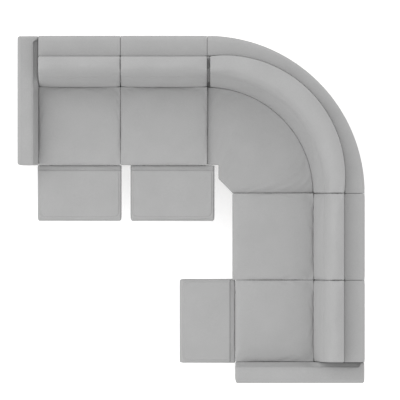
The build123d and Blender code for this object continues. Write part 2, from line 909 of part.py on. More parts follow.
def corner_back_cushion():
    stations = []
    for turn, fullness in swell(corner_seam_turn, 90 - corner_seam_turn):
        stations.append((radial(turn), fullness, corner_setback, ledge_front(turn) - fit_gap))
    back_roll("corner_back_cushion", stations)


def feet():
    places = []
    for run, x, width in ((top_run, end_x, end_seat_width), (top_run, middle_x, middle_seat_width),
                          (right_run, -middle_x, middle_seat_width), (right_run, -end_x, end_seat_width)):
        for across in (x - width / 2 + foot_inset, x + width / 2 - foot_inset):
            for depth in (foot_front, deck_rear):
                places.append(run.from_local_coords((across, depth, 0)))
    for _, run, outer, inward in arms:
        for depth in (foot_front, module_depth - foot_front):
            across = outer + inward * (arm_frame_start + arm_frame_width / 2)
            places.append(run.from_local_coords((across, depth, 0)))
    near = corner_setback + foot_front
    far = corner_setback + deck_rear
    for out, over in ((foot_inset, near), (near, foot_inset), (foot_inset, far), (far, foot_inset),
                      (far / sqrt(2), far / sqrt(2))):
        places.append(Vector(corner_line + out, corner_line + over, 0))
    with BuildPart() as legs:
        for place in places:
            with BuildSketch(Plane(place)):
                Circle(foot_tip_radius)
            with BuildSketch(Plane(place).offset(foot_height)):
                Circle(foot_top_radius)
            loft()
    save(legs, "feet")


def joining_plates():
    seams = (-arm_x, corner_line - middle_seat_width, corner_line)
    with BuildPart() as plates:
        for run, sign in ((top_run, 1), (right_run, -1)):
            with BuildSketch(run.offset(foot_height - joiner_thickness)):
                for seam in seams:
                    for depth in joiner_places:
                        with Locations((sign * seam, depth)):
                            RectangleRounded(joiner_length, joiner_width, joiner_thickness)
            extrude(amount=joiner_thickness)
    save(plates, "joining_plates")


for name, run, x, width, footrest_x in recliners:
    in_front = name == "seat_2"
    seat_base(name + "_base", run, x, width, footrest_x, in_front)
    crowned_seat(name + "_seat_cushion", run, x, width, seat_front)
    back_shell(name + "_back_shell", run, x, width, footrest_x)
    back_cushion(name + "_back_cushion", run, x, width)
    side_plates(name + "_side_plates", run, footrest_x)
    drive_shaft(name + "_drive_shaft", run, footrest_x)
    swing_arms(name + "_swing_arms", run, footrest_x)
    carrier_links(name + "_carrier_links", run, footrest_x)
    flip_links(name + "_flip_links", run, footrest_x)
    footrest_pan(name + "_footrest_pan", run, footrest_x)
    footrest_pad(name + "_footrest_pad", run, footrest_x)
    footrest_motor(name + "_motor", run, footrest_x)
    push_rod(name + "_push_rod", run, footrest_x)

seat_base("seat_3_base", right_run, -middle_x, middle_seat_width)
crowned_seat("seat_3_seat_cushion", right_run, -middle_x, middle_seat_width, seat_front - middle_seat_projection)
back_shell("seat_3_back_shell", right_run, -middle_x, middle_seat_width)
back_cushion("seat_3_back_cushion", right_run, -middle_x, middle_seat_width)

corner_base()
corner_seat()
corner_back()
corner_back_cushion()

for name, run, outer, inward in arms:
    arm_cover(name, run, outer, inward)
    arm_frame(name, run, outer, inward)

front_switch_x = middle_x - (middle_seat_width - module_gap) / 2 + front_switch_inset
front_switch_place = top_run.from_local_coords(Vector(front_switch_x, front_setback, front_switch_height))
switches = (
    ("seat_1", arm_switch_face(*arms[0][1:])),
    ("seat_2", switch_plane(front_switch_place, -top_run.y_dir)),
    ("seat_4", arm_switch_face(*arms[1][1:])),
)
for name, face in switches:
    switch_bezel(name + "_switch_bezel", face)
    switch_rocker(name + "_switch_rocker", face)

feet()
joining_plates()
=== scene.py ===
import math

import bpy
from mathutils import Matrix, Vector


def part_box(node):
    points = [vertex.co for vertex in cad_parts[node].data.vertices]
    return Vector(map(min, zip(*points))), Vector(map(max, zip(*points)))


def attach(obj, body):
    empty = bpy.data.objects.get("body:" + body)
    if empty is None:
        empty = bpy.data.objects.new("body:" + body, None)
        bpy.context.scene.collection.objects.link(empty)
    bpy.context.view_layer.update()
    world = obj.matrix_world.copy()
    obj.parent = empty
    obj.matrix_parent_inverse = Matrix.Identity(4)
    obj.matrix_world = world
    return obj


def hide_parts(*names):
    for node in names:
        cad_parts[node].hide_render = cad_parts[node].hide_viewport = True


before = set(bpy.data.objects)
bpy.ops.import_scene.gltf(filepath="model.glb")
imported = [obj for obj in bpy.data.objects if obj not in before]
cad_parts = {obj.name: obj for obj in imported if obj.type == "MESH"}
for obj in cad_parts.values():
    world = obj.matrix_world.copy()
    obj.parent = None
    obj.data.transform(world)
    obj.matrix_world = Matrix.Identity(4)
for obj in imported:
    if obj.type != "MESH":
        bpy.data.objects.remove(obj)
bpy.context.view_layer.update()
scene = bpy.context.scene
bpy.ops.object.select_all(action="DESELECT")
print("frame loaded,", len(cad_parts), "nodes")

# The two legs of the L: x along the seats, y to the back, z up, from the line of the seat fronts
frontLine = 0.34
topRun = Matrix.Translation((0, frontLine, 0))
rightRun = Matrix(((0, 1, 0, frontLine), (-1, 0, 0, 0), (0, 0, 1, 0), (0, 0, 0, 1)))
seats = (
    {"name": "seat_1", "run": topRun, "recliner": True},
    {"name": "seat_2", "run": topRun, "recliner": True},
    {"name": "seat_3", "run": rightRun, "recliner": False},
    {"name": "seat_4", "run": rightRun, "recliner": True},
)
recliners = [seat for seat in seats if seat["recliner"]]
arms = (
    {"name": "left_arm", "run": topRun, "inward": 1, "switch": "seat_1_switch_bezel"},
    {"name": "right_arm", "run": rightRun, "inward": -1, "switch": "seat_4_switch_bezel"},
)
# The corner is laid out round its centre; step, drop and forward shape its stepped front
corner = {"centre": Vector((0.124, 0.124, 0)), "back": 1.196, "setback": 0.216, "diagonalLedge": 0.094,
          "ledge": 0.155, "step": 0.086, "drop": 0.105, "forward": 0.022}
cornerTurn = math.radians(90)
halfTurn = math.radians(45)


# small helpers

clothLook = {"quality": 4, "mass": 0.3, "stiffness": 15}
sharpAngle = 40.0  # degrees, edges sharper than this stay sharp on flat cloth
headroom = Vector((0, 0, 0.1))  # a cover may rise freely above its block


def localBox(node, run):
    back = run.inverted()
    a, b = (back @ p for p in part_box(node))
    return Vector(map(min, a, b)), Vector(map(max, a, b))


def backBody(seat):
    return seat["name"] + "_back" if seat["recliner"] else "frame"


def makeActive(obj):
    bpy.ops.object.select_all(action="DESELECT")
    obj.select_set(True)
    bpy.context.view_layer.objects.active = obj


def applyModifier(obj, kind, name, **values):
    makeActive(obj)
    modifier = obj.modifiers.new(name, kind)
    for key, value in values.items():
        setattr(modifier, key, value)
    bpy.ops.object.modifier_apply(modifier=modifier.name)


def soften(obj):
    applyModifier(obj, "SUBSURF", "soften", levels=1, render_levels=1)
    return obj


def foldEdges(obj, width, segments=3, angle=60):
    applyModifier(obj, "BEVEL", "fold", width=width, segments=segments, limit_method="ANGLE",
                  angle_limit=math.radians(angle))


def smoothstep(low, high, x):
    t = min(1, max(0, (x - low) / (high - low)))
    return t * t * (3 - 2 * t)


def nearestOn(points, p):
    # how far a flat point lies from a line through flat points
    nearest = 1.0
    for a, b in zip(points, points[1:]):
        share = min(1, max(0, (p - a).dot(b - a) / (b - a).length_squared))
        nearest = min(nearest, (p - a.lerp(b, share)).length)
    return nearest


def shape(obj, move):
    for v in obj.data.vertices:
        v.co = move(v.co.copy())


def selectParts(obj, kind, test):
    # leaves the mesh in edit mode with these faces or edges selected
    makeActive(obj)
    bpy.ops.object.mode_set(mode="EDIT")
    bpy.ops.mesh.select_mode(type=kind)
    bpy.ops.mesh.select_all(action="DESELECT")
    bpy.ops.object.mode_set(mode="OBJECT")
    for part in obj.data.polygons if kind == "FACE" else obj.data.edges:
        part.select = test(part)
    bpy.ops.object.mode_set(mode="EDIT")


def cutAlong(obj, axis, cuts):
    if cuts < 1:
        return

    def runsAlong(edge):
        a, b = (obj.data.vertices[i].co for i in edge.vertices)
        return abs((b - a)[axis]) > 0.99 * (b - a).length

    selectParts(obj, "EDGE", runsAlong)
    bpy.ops.mesh.subdivide(number_cuts=cuts)
    bpy.ops.object.mode_set(mode="OBJECT")


def block(name, low, high, pitch, crowd=0.0):
    # a box at its size and place, cut into squares of about the pitch, closer together towards its edges
    size = high - low
    bpy.ops.mesh.primitive_cube_add(size=1, location=(low + high) / 2)
    obj = bpy.context.active_object
    obj.name = obj.data.name = name
    obj.scale = size
    bpy.ops.object.transform_apply(location=True, rotation=True, scale=True)
    for axis in range(3):
        cutAlong(obj, axis, round(size[axis] / pitch) - 1)

    def gather(p):
        for i in range(3):
            t = (p[i] - low[i]) / size[i]
            p[i] = low[i] + size[i] * (t - crowd * math.sin(2 * math.pi * t) / (2 * math.pi))
        return p

    shape(obj, gather)
    return obj


def roundOff(p, low, high, near, far):
    # pulls a point of a box's skin onto rounded edges; near and far are the radii at its low and high sides
    core = [min(max(p[i], low[i] + near[i]), high[i] - far[i]) for i in range(3)]
    reach = [near[i] if p[i] < core[i] else far[i] for i in range(3)]
    off = Vector((p[i] - core[i]) / reach[i] for i in range(3))
    if off.length > 1e-6:
        off.normalize()
    return Vector(core[i] + off[i] * reach[i] for i in range(3))


def fillOut(obj, held, values):
    # pressure inside the cover fills it out between the places where it is held
    rest = [v.co.copy() for v in obj.data.vertices]
    group = obj.vertex_groups.new(name="held")
    group.add([v.index for v in obj.data.vertices if held(v.co)], 1.0, "REPLACE")
    makeActive(obj)
    cloth = obj.modifiers.new("filling", "CLOTH")
    cloth.settings.vertex_group_mass = "held"
    cloth.settings.quality = clothLook["quality"]
    cloth.settings.mass = clothLook["mass"]
    cloth.settings.tension_stiffness = clothLook["stiffness"]
    cloth.settings.compression_stiffness = clothLook["stiffness"]
    cloth.settings.bending_stiffness = values["bend"]
    cloth.settings.use_pressure = True
    cloth.settings.uniform_pressure_force = values["pressure"]
    cloth.settings.shrink_min = -values["slack"]
    cloth.settings.effector_weights.gravity = 0
    cloth.collision_settings.use_collision = False
    cloth.point_cache.frame_start = 1
    cloth.point_cache.frame_end = values["frames"]
    for number in range(1, values["frames"] + 1):
        scene.frame_set(number)
    bpy.ops.object.modifier_apply(modifier=cloth.name)
    scene.frame_set(1)
    most = 0
    for v, start in zip(obj.data.vertices, rest):
        move = v.co - start
        most = max(most, move.length)
        v.co = start + move * values["cap"] / (values["cap"] + move.length)
    obj.vertex_groups.clear()
    print("filled out", obj.name, len(rest), "points, moved up to", round(most * 1000, 1), "mm")


def keepWithin(obj, low, high):
    # a filled cover doesn't push past its neighbours
    shape(obj, lambda p: Vector(min(max(p[i], low[i]), high[i]) for i in range(3)))


def toWorld(obj, matrix):
    obj.data.transform(matrix)
    obj.data.update()


def layWeave(obj):
    # a flat map in metres that the woven pattern follows
    makeActive(obj)
    bpy.ops.object.mode_set(mode="EDIT")
    bpy.ops.mesh.select_all(action="SELECT")
    bpy.ops.uv.cube_project(cube_size=1, correct_aspect=False)
    bpy.ops.object.mode_set(mode="OBJECT")
    obj.data.uv_layers[0].name = "weave"


def dress(obj, material, body, nodes=(), smoothAngle=None):
    makeActive(obj)
    if smoothAngle is None:
        bpy.ops.object.shade_smooth()
    else:
        bpy.ops.object.shade_smooth_by_angle(angle=math.radians(smoothAngle))
    obj.data.materials.clear()
    obj.data.materials.append(material)
    if nodes:
        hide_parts(*nodes)
    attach(obj, body)


def upholster(obj, body, nodes=(), smoothAngle=None):
    layWeave(obj)
    dress(obj, fabric, body, nodes, smoothAngle)


def trim(obj):
    # flat cloth that is fixed to the frame
    upholster(obj, "frame", smoothAngle=sharpAngle)


# shared effects for the materials

def newGroup(name, inputs, outputs):
    group = bpy.data.node_groups.new(name, "ShaderNodeTree")
    for label, kind, value in inputs:
        socket = group.interface.new_socket(label, in_out="INPUT", socket_type=kind)
        if value is not None:
            socket.default_value = value
    for label, kind in outputs:
        group.interface.new_socket(label, in_out="OUTPUT", socket_type=kind)
    return group, group.nodes.new("NodeGroupInput"), group.nodes.new("NodeGroupOutput")


def addNode(tree, kind, links=(), **values):
    # in_2=5.0 sets the third input, any other value sets the node's own property
    node = tree.nodes.new(kind)
    for key, value in values.items():
        if key.startswith("in_"):
            node.inputs[int(key[3:])].default_value = value
        else:
            setattr(node, key, value)
    for number, source in links:
        tree.links.new(source, node.inputs[number])
    return node


def sumUp(tree, operation, *sources, **values):
    return addNode(tree, "ShaderNodeMath", enumerate(sources), operation=operation, **values).outputs[0]


def noise(tree, place, scale, detail, roughness):
    return addNode(tree, "ShaderNodeTexNoise", ((0, place),), in_2=scale, in_3=detail,
                   in_4=roughness).outputs[0]


def stretchOut(tree, source, given, wanted):
    return addNode(tree, "ShaderNodeMapRange", ((0, source),), in_1=given[0], in_2=given[1], in_3=wanted[0],
                   in_4=wanted[1]).outputs[0]


def blend(tree, share, first, second):
    return addNode(tree, "ShaderNodeMix", ((0, share), (6, first), (7, second)), data_type="RGBA").outputs[2]


surfaceOutputs = (("Color", "NodeSocketColor"), ("Roughness", "NodeSocketFloat"))
weaveLook = {"yarn": (260.0, 3.0, 0.6), "tone": (5.0, 4.0, 0.55), "middle": (0.3, 0.7), "worn": (-0.18, 0.18),
             "thread": 0.22, "roughFrom": (0.25, 0.75), "rough": (0.82, 0.96)}


def weaveGroup():
    # plain weave: two sets of threads that pass over each other by turns, and flecked yarn
    group, given, out = newGroup(
        "wovenCloth",
        (("Place", "NodeSocketVector", None), ("Body", "NodeSocketVector", None),
         ("Threads", "NodeSocketFloat", 420.0), ("Light", "NodeSocketColor", (0.5, 0.5, 0.5, 1)),
         ("Dark", "NodeSocketColor", (0.4, 0.4, 0.4, 1))),
        surfaceOutputs,
    )
    place, body, threads = (given.outputs[label] for label in ("Place", "Body", "Threads"))
    scaled = addNode(group, "ShaderNodeVectorMath", ((0, place), (3, threads)), operation="SCALE")
    split = addNode(group, "ShaderNodeSeparateXYZ", ((0, scaled.outputs[0]),))
    waves = []
    for axis in (0, 1):
        angle = sumUp(group, "MULTIPLY", split.outputs[axis], in_1=math.pi)
        waves.append(sumUp(group, "SINE", angle))
    crossing = sumUp(group, "MULTIPLY", *waves)
    yarn = noise(group, body, *weaveLook["yarn"])
    tone = noise(group, body, *weaveLook["tone"])
    fleck = stretchOut(group, yarn, weaveLook["middle"], (0.0, 1.0))
    worn = stretchOut(group, tone, weaveLook["middle"], weaveLook["worn"])
    over = sumUp(group, "MULTIPLY", crossing, in_1=weaveLook["thread"])
    share = sumUp(group, "ADD", sumUp(group, "ADD", fleck, worn), over, use_clamp=True)
    color = blend(group, share, given.outputs["Dark"], given.outputs["Light"])
    group.links.new(color, out.inputs["Color"])
    rough = stretchOut(group, yarn, weaveLook["roughFrom"], weaveLook["rough"])
    group.links.new(rough, out.inputs["Roughness"])
    return group


mottleLook = {"detail": 5.0, "roughness": 0.6, "middle": (0.3, 0.7)}


def mottleGroup():
    # fine mottling that changes colour and gloss together
    group, given, out = newGroup(
        "fineMottle",
        (("Body", "NodeSocketVector", None), ("Scale", "NodeSocketFloat", 60.0),
         ("First", "NodeSocketColor", (0.1, 0.1, 0.1, 1)),
         ("Second", "NodeSocketColor", (0.12, 0.12, 0.12, 1)),
         ("Smooth", "NodeSocketFloat", 0.35), ("Rough", "NodeSocketFloat", 0.55)),
        surfaceOutputs,
    )
    low, high = mottleLook["middle"]
    grain = addNode(group, "ShaderNodeTexNoise", ((0, given.outputs["Body"]), (2, given.outputs["Scale"])),
                    in_3=mottleLook["detail"], in_4=mottleLook["roughness"]).outputs[0]
    spread = stretchOut(group, grain, (low, high), (0.0, 1.0))
    color = blend(group, spread, given.outputs["First"], given.outputs["Second"])
    rough = addNode(group, "ShaderNodeMapRange",
                    ((0, grain), (3, given.outputs["Smooth"]), (4, given.outputs["Rough"])),
                    in_1=low, in_2=high)
    group.links.new(color, out.inputs["Color"])
    group.links.new(rough.outputs[0], out.inputs["Roughness"])
    return group


woven = weaveGroup()
mottle = mottleGroup()


def newMaterial(name):
    material = bpy.data.materials.new(name)
    material.use_nodes = True
    tree = material.node_tree
    return material, tree, tree.nodes["Principled BSDF"]


def joinSurface(tree, shader, effect):
    tree.links.new(effect.outputs["Color"], shader.inputs["Base Color"])
    tree.links.new(effect.outputs["Roughness"], shader.inputs["Roughness"])


fabricLook = {"light": (0.49, 0.49, 0.49, 1), "dark": (0.42, 0.42, 0.42, 1), "threads": 520.0,
              "sheen": 0.15, "sheenRoughness": 0.5, "specular": 0.2}


def fabricMaterial(name, mapped):
    material, tree, shader = newMaterial(name)
    place = addNode(tree, "ShaderNodeTexCoord").outputs["Object"]
    effect = addNode(tree, "ShaderNodeGroup", node_tree=woven)
    source = addNode(tree, "ShaderNodeUVMap", uv_map="weave").outputs[0] if mapped else place
    tree.links.new(source, effect.inputs["Place"])
    tree.links.new(place, effect.inputs["Body"])
    effect.inputs["Threads"].default_value = fabricLook["threads"]
    effect.inputs["Light"].default_value = fabricLook["light"]
    effect.inputs["Dark"].default_value = fabricLook["dark"]
    joinSurface(tree, shader, effect)
    shader.inputs["Sheen Weight"].default_value = fabricLook["sheen"]
    shader.inputs["Sheen Roughness"].default_value = fabricLook["sheenRoughness"]
    shader.inputs["Specular IOR Level"].default_value = fabricLook["specular"]
    return material


def mottledMaterial(name, look):
    material, tree, shader = newMaterial(name)
    place = addNode(tree, "ShaderNodeTexCoord").outputs["Object"]
    mapping = addNode(tree, "ShaderNodeMapping", ((0, place),))
    mapping.inputs["Scale"].default_value = look.get("stretch", (1, 1, 1))
    effect = addNode(tree, "ShaderNodeGroup", node_tree=mottle)
    tree.links.new(mapping.outputs[0], effect.inputs["Body"])
    effect.inputs["Scale"].default_value = look["scale"]
    effect.inputs["First"].default_value = (*look["first"], 1)
    effect.inputs["Second"].default_value = (*look["second"], 1)
    effect.inputs["Smooth"].default_value = look["smooth"]
    effect.inputs["Rough"].default_value = look["rough"]
    joinSurface(tree, shader, effect)
    return material


fabric = fabricMaterial("greyWovenFabric", True)
boardFabric = fabricMaterial("greyBoardFabric", False)
plywood = mottledMaterial("palePlywood", {
    "first": (0.50, 0.36, 0.22), "second": (0.64, 0.49, 0.32), "smooth": 0.5, "rough": 0.7, "scale": 9.0,
    "stretch": (1, 1, 9)})
stainedWood = mottledMaterial("darkStainedWood", {
    "first": (0.035, 0.026, 0.02), "second": (0.075, 0.055, 0.04), "smooth": 0.3, "rough": 0.5,
    "scale": 14.0, "stretch": (8, 8, 1)})
blackSteel = mottledMaterial("satinBlackSteel", {
    "first": (0.05, 0.05, 0.055), "second": (0.085, 0.085, 0.09), "smooth": 0.32, "rough": 0.5,
    "scale": 90.0})
blackPlastic = mottledMaterial("mattBlackPlastic", {
    "first": (0.035, 0.035, 0.038), "second": (0.055, 0.055, 0.058), "smooth": 0.5, "rough": 0.7,
    "scale": 700.0})
greyPlastic = mottledMaterial("darkGreyPlastic", {
    "first": (0.05, 0.05, 0.053), "second": (0.075, 0.075, 0.08), "smooth": 0.4, "rough": 0.6,
    "scale": 700.0})
lining = mottledMaterial("charcoalLining", {
    "first": (0.06, 0.06, 0.062), "second": (0.095, 0.095, 0.1), "smooth": 0.85, "rough": 0.95,
    "scale": 400.0})
thread = mottledMaterial("greyThread", {
    "first": (0.36, 0.36, 0.36), "second": (0.44, 0.44, 0.44), "smooth": 0.6, "rough": 0.75,
    "scale": 900.0})
print("materials made")


# seams: short stitches laid on a finished surface

stitchLook = {"length": 0.0062, "width": 0.0016, "height": 0.0009, "pitch": 0.0085, "sides": 6, "rings": 4,
              "lift": 0.0002, "away": 0.1}


def oneStitch():
    bpy.ops.mesh.primitive_uv_sphere_add(segments=stitchLook["sides"], ring_count=stitchLook["rings"],
                                         radius=0.5)
    obj = bpy.context.active_object
    length, width, height = stitchLook["length"], stitchLook["width"], stitchLook["height"]
    points = [Vector((v.co.z * length, v.co.x * width, v.co.y * height)) for v in obj.data.vertices]
    faces = [tuple(f.vertices) for f in obj.data.polygons]
    bpy.data.objects.remove(obj)
    return points, faces


stitchPoints, stitchFaces = oneStitch()


def along(points):
    # places at the stitch pitch along a run of points
    places, spare = [], 0.0
    for a, b in zip(points, points[1:]):
        length = (b - a).length
        at = spare
        while at < length:
            places.append(a.lerp(b, at / length))
            at += stitchLook["pitch"]
        spare = at - length
    return places


def sewRows(name, cover, rows, look, body):
    # each place is carried along the look direction onto the cover, and gets a stitch that follows the row
    bpy.context.view_layer.update()
    verts, faces = [], []
    for row in rows:
        hits = []
        for place in along(row):
            found, spot, normal, _ = cover.ray_cast(place, look)
            hits.append((spot, normal) if found else None)
        for before, here, after in zip(hits, hits[1:], hits[2:]):
            if not (before and here and after):
                continue
            ahead = (after[0] - before[0]).normalized()
            up = here[1]
            side = up.cross(ahead).normalized()
            first = len(verts)
            for p in stitchPoints:
                verts.append(here[0] + ahead * p.x + side * p.y + up * (p.z + stitchLook["lift"]))
            faces.extend(tuple(first + i for i in f) for f in stitchFaces)
    mesh = bpy.data.meshes.new(name)
    mesh.from_pydata(verts, [], faces)
    obj = bpy.data.objects.new(name, mesh)
    scene.collection.objects.link(obj)
    dress(obj, thread, body)


# seat cushions: box cushions with a soft crown and sides that meet

seatLook = {"pitch": 0.0105, "crowd": 0.6, "near": (0.006, 0.013, 0.007), "far": (0.006, 0.003, 0.007),
            "spread": 0.0019, "reach": 0.0018, "lift": 0.0002, "tuck": 0.0055, "edge": 0.462, "rim": 0.010,
            "crown": 0.009, "crownFrom": 0.03, "flat": 6, "border": 0.012, "seam": 0.024, "seamDepth": 0.0022,
            "seamWidth": 0.003, "stitchOver": 0.007, "stitchEnd": 0.02, "fill": 0.75,
            "filling": {"pressure": 0.35, "slack": 0.004, "bend": 0.6, "frames": 14, "cap": 0.020}}


def seatCushion(name, low, high):
    low = low + Vector((-seatLook["spread"], -seatLook["reach"], seatLook["lift"]))
    high = Vector((high.x + seatLook["spread"], high.y + seatLook["tuck"], seatLook["edge"]))
    obj = block(name, low, high, seatLook["pitch"], seatLook["crowd"])
    middle, half = (low + high) / 2, (high - low) / 2
    flat = seatLook["flat"]

    def settle(p):
        p = roundOff(p, low, high, seatLook["near"], seatLook["far"])
        u, v = (p.x - middle.x) / half.x, (p.y - middle.y) / half.y
        up = smoothstep(low.z + seatLook["crownFrom"], high.z, p.z)
        p.z += seatLook["crown"] * up * (1 - u**flat) * (1 - v**flat)
        return p

    shape(obj, settle)
    rim = high.z - seatLook["rim"]
    fillOut(obj, lambda p: p.z < rim, seatLook["filling"])
    keepWithin(obj, low, high + headroom)

    def sew(p):
        # seam between the top and the front border
        if p.y < low.y + seatLook["border"]:
            off = (p.z - high.z + seatLook["seam"]) / seatLook["seamWidth"]
            p.y += seatLook["seamDepth"] * math.exp(-off**2)
        return p

    shape(obj, sew)
    return obj


for seat in seats:
    node, run = seat["name"] + "_seat_cushion", seat["run"]
    low, high = localBox(node, run)
    obj = seatCushion(seat["name"] + "_cushion", low, high)
    toWorld(obj, run)
    upholster(soften(obj), "frame", (node,))
    seam = seatLook["edge"] - seatLook["seam"] + seatLook["stitchOver"]
    ends = (low.x + seatLook["stitchEnd"], high.x - seatLook["stitchEnd"])
    row = [run @ Vector((x, low.y - stitchLook["away"], seam)) for x in ends]
    sewRows(seat["name"] + "_cushion_stitching", obj, (row,), run.to_3x3() @ Vector((0, 1, 0)), "frame")
print("seat cushions made")


# back cushions: a lower and an upper roll with a sewn crease between

backLook = {"pitch": 0.013, "crowd": 0.6, "near": (0.006, 0.040, 0.030), "far": (0.006, 0.030, 0.036),
            "spread": 0.0019, "lean": 0.2415, "crease": 0.365, "creaseDepth": 0.009, "creaseWidth": 0.016,
            "lowRoll": 0.015, "highRoll": 0.011, "rollFade": 0.7, "flat": 8, "crown": 0.034,
            "crownFrom": 0.05, "crownFlat": 6, "foot": 0.588, "rear": 0.8245, "low": 0.400,
            "shoulder": 0.512, "heldRear": 0.012, "heldFoot": 0.03, "heldSide": 0.003, "forward": 0.5,
            "top": 1.0, "fill": 0.7,
            "filling": {"pressure": 0.35, "slack": 0.004, "bend": 0.8, "frames": 12, "cap": 0.020}}


def backForm(p, u, low, high, foot, rear):
    # leans a rounded block back and gives its front the two rolls
    depth = (p.y - low.y) / (high.y - low.y)
    z = p.z - low.z
    even = 1 - abs(u)**backLook["flat"]
    full = 0.5 + 0.5 * even
    crease, shoulder = backLook["crease"], backLook["shoulder"]
    if z < crease:
        roll = backLook["lowRoll"] * math.sin(math.pi * max(0, z) / crease)
    else:
        roll = backLook["highRoll"] * math.sin(math.pi * min(1, (z - crease) / (shoulder - crease)))
    roll -= backLook["creaseDepth"] * math.exp(-((z - crease) / backLook["creaseWidth"])**2) * even
    face = foot + z * backLook["lean"]
    y = face + depth * (rear - face) - roll * full * (1 - smoothstep(0.0, backLook["rollFade"], depth))
    lift = smoothstep(shoulder - backLook["crownFrom"], shoulder, z) * (1 - abs(u)**backLook["crownFlat"])
    return y, p.z + backLook["crown"] * lift * max(0, 1 - (2 * depth - 1)**2)


def backCushion(name, low, high):
    low = Vector((low.x - backLook["spread"], low.y, backLook["low"]))
    high = Vector((high.x + backLook["spread"], high.y, backLook["low"] + backLook["shoulder"]))
    obj = block(name, low, high, backLook["pitch"], backLook["crowd"])
    middle, half = (low + high) / 2, (high - low) / 2

    def settle(p):
        p = roundOff(p, low, high, backLook["near"], backLook["far"])
        u = (p.x - middle.x) / half.x
        p.y, p.z = backForm(p, u, low, high, backLook["foot"], backLook["rear"])
        return p

    shape(obj, settle)
    rear, foot = backLook["rear"] - backLook["heldRear"], low.z + backLook["heldFoot"]
    sides = half.x - backLook["heldSide"]
    fillOut(obj, lambda p: p.y > rear or p.z < foot or abs(p.x - middle.x) > sides, backLook["filling"])
    keepWithin(obj, Vector((low.x, backLook["forward"], low.z)),
               Vector((high.x, backLook["rear"], backLook["top"])))
    return obj


for seat in seats:
    node = seat["name"] + "_back_cushion"
    low, high = localBox(node, seat["run"])
    obj = backCushion(seat["name"] + "_backrest", low, high)
    toWorld(obj, seat["run"])
    upholster(soften(obj), backBody(seat), (node,))
print("back cushions made")


# corner back cushion, turned round the corner's centre, with an open gap beside seat 2

cornerBackLook = {"length": 1.46, "pitch": 0.015, "firstInset": 0.0005, "lastInset": 0.0205, "fade": 0.25,
                  "rearGap": 0.001, "heldRear": 0.013, "heldEnd": 0.003,
                  "filling": {"pressure": 0.2, "slack": 0.004, "bend": 0.8, "frames": 12, "cap": 0.020}}


def aroundCorner(reach, turn, z):
    return corner["centre"] + Vector((reach * math.cos(turn), reach * math.sin(turn), z))


def ledgeFront(turn):
    # how far the front of the ledge lies from the corner's centre
    end = corner["back"] - corner["ledge"]
    diagonal = corner["back"] - corner["diagonalLedge"]
    shift = (diagonal**2 - end**2) / (2 * (math.sqrt(2) * diagonal - end))
    radius = diagonal - math.sqrt(2) * shift
    out = shift * (math.cos(turn) + math.sin(turn))
    return out + math.sqrt(out**2 - 2 * shift**2 + radius**2)


def moveEnds(spot, look):
    # the ends lie square to the legs, moved in from the joints between the modules
    across = spot - corner["centre"]
    spot.y += look["firstInset"] * max(0, 1 - across.y / look["fade"])
    spot.x += look["lastInset"] * max(0, 1 - across.x / look["fade"])
    return spot


def cornerBack():
    half = cornerBackLook["length"] / 2
    low = Vector((-half, backLook["foot"], backLook["low"]))
    high = Vector((half, backLook["rear"], backLook["low"] + backLook["shoulder"]))
    obj = block("corner_backrest", low, high, cornerBackLook["pitch"], backLook["crowd"])

    def settle(p):
        p = roundOff(p, low, high, backLook["near"], backLook["far"])
        u = p.x / half
        turn = halfTurn - u * halfTurn
        rear = ledgeFront(turn) - corner["setback"] - cornerBackLook["rearGap"]
        y, z = backForm(p, u, low, high, backLook["foot"], rear)
        return moveEnds(aroundCorner(y + corner["setback"], turn, z), cornerBackLook)

    shape(obj, settle)
    foot = backLook["low"] + backLook["heldFoot"]

    def held(p):
        out = (p - corner["centre"]).to_2d()
        rear = ledgeFront(math.atan2(out.y, out.x)) - cornerBackLook["heldRear"]
        ends = min(out.x - cornerBackLook["lastInset"], out.y - cornerBackLook["firstInset"])
        return out.length > rear or p.z < foot or ends < cornerBackLook["heldEnd"]

    fillOut(obj, held, cornerBackLook["filling"])
    return obj


upholster(soften(cornerBack()), "frame", ("corner_back_cushion",))

cornerEndLook = {"start": 0.0010, "thickness": 0.0198, "pitch": 0.012, "foot": 0.034, "drop": 0.072,
                 "edge": 0.002, "round": 0.020}


def cornerEnd():
    # covered end of the corner's back, a little lower than the cushion, in the gap beside seat 2
    left = corner["centre"].x + cornerEndLook["start"]
    top = backLook["low"] + backLook["shoulder"] - cornerEndLook["drop"]
    low = Vector((left, backLook["foot"], backLook["low"]))
    high = Vector((left + cornerEndLook["thickness"], backLook["rear"], top))
    obj = block("corner_end_panel", low, high, cornerEndLook["pitch"])
    edge, bend = cornerEndLook["edge"], cornerEndLook["round"]

    def settle(p):
        p = roundOff(p, low, high, (edge, bend, edge), (edge, bend, bend))
        p.y, p.z = backForm(p, 1, low, high, backLook["foot"] + cornerEndLook["foot"], backLook["rear"])
        return p

    shape(obj, settle)
    toWorld(obj, topRun)
    return obj


upholster(soften(cornerEnd()), "frame")
print("corner back cushion made")


# corner seat cushion: a wedge with a stepped front, a little lower than the seats beside it

cornerLook = {"pitch": 0.012, "crowd": 0.5, "length": 1.0, "depth": 0.56, "height": 0.05, "edge": 0.009,
              "margin": 0.0003, "frontGap": 0.0005, "rear": 0.8105, "rearTuck": 4.0, "sphere": 8.0,
              "high": 0.437, "low": 0.3942, "heldDepth": 0.036, "heldEnd": 0.004, "heldFront": 0.003,
              "fill": 0.75,
              "filling": {"pressure": 0.25, "slack": 0.004, "bend": 0.6, "frames": 14, "cap": 0.018}}
cornerFace = corner["setback"] + cornerLook["frontGap"]
cornerFrontLine = [Vector((0, cornerFace)), Vector((corner["step"], cornerFace)),
                   Vector((corner["step"], cornerFace - corner["drop"])),
                   Vector((cornerFace - corner["forward"], 0))]


